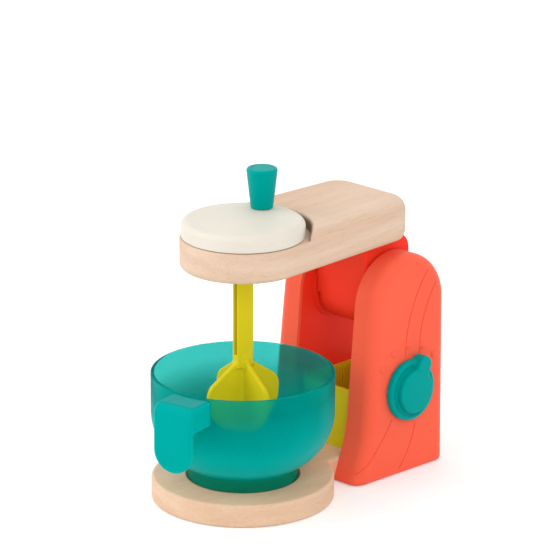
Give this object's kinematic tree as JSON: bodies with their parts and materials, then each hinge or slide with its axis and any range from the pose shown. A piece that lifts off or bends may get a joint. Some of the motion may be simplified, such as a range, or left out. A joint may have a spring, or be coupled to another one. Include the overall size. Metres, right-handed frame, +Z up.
{
  "type": "toy stand mixer",
  "caption": "Toy stand mixer with a wooden base and tilting head, two rounded columns, a hand crank that turns the beater, a lift-out bowl with a handle, a storage bin and a click dial.",
  "frame": {"origin": "on the flat underside of the base board, below the mixing axis", "axes": "+Z up along the mixing axis, -Y towards the bowl's front, +X towards the dial's column"},
  "size_m": [0.1154, 0.2204, 0.2075],
  "materials": {
    "wood": "smooth oiled beech",
    "coral_plastic": "satin moulded",
    "cream_plastic": "satin moulded",
    "teal_plastic": "satin moulded",
    "lime_plastic": "satin moulded",
    "bowl_plastic": "glossy translucent",
    "steel": "zinc plated",
    "nylon": "moulded"
  },
  "bodies": {
    "stand": {"base_board": "wood", "left_outer_shell": "coral_plastic", "left_inner_cover": "coral_plastic", "right_outer_shell": "coral_plastic", "right_inner_cover": "coral_plastic", "storage_bin": "lime_plastic", "hinge_pin": "steel", "case_screws": "steel", "base_screws": "steel", "bin_screws": "steel", "click_leaf": "nylon", "click_leaf_screw": "steel"},
    "head": {"head_board": "wood", "hinge_bracket": "coral_plastic", "hinge_cap": "coral_plastic", "hinge_screws": "steel", "head_screws": "steel", "upper_bush": "nylon", "lower_bush": "nylon", "thrust_washer": "nylon"},
    "crank": {"crank_disc": "cream_plastic", "spindle": "nylon", "disc_screw": "steel", "knob_pin": "steel", "knob_clip": "steel"},
    "knob": {"crank_knob": "teal_plastic", "knob_cap": "teal_plastic"},
    "beater": {"beater": "lime_plastic"},
    "bowl": {"bowl": "bowl_plastic"},
    "dial": {"dial_knob": "teal_plastic", "dial_wheel": "nylon", "dial_screw": "steel"}
  },
  "joints": [
    {"name": "head_tilt", "type": "hinge", "parent": "stand", "child": "head", "pos_m": [0, 0.1083, 0.1102], "axis": [-1, 0, 0], "range_deg": [0, 60]},
    {"name": "crank_spin", "type": "hinge", "parent": "head", "child": "crank", "pos_m": [0, 0, 0.171], "axis": [0, 0, 1], "continuous": true},
    {"name": "knob_spin", "type": "hinge", "parent": "crank", "child": "knob", "pos_m": [-0.009, 0.02556, 0.19], "axis": [0, 0, 1], "continuous": true},
    {"name": "beater_pull", "type": "slide", "parent": "crank", "child": "beater", "axis": [0, 0, -1], "range_m": [0, 0.01]},
    {"name": "bowl_lift", "type": "slide", "parent": "stand", "child": "bowl", "axis": [0, 0, 1], "range_m": [0, 0.008]},
    {"name": "dial_turn", "type": "hinge", "parent": "stand", "child": "dial", "pos_m": [0.0442, 0.105, 0.0552], "axis": [0.9992, -0.0314, 0.0244], "range_deg": [-26, 78]}
  ]
}
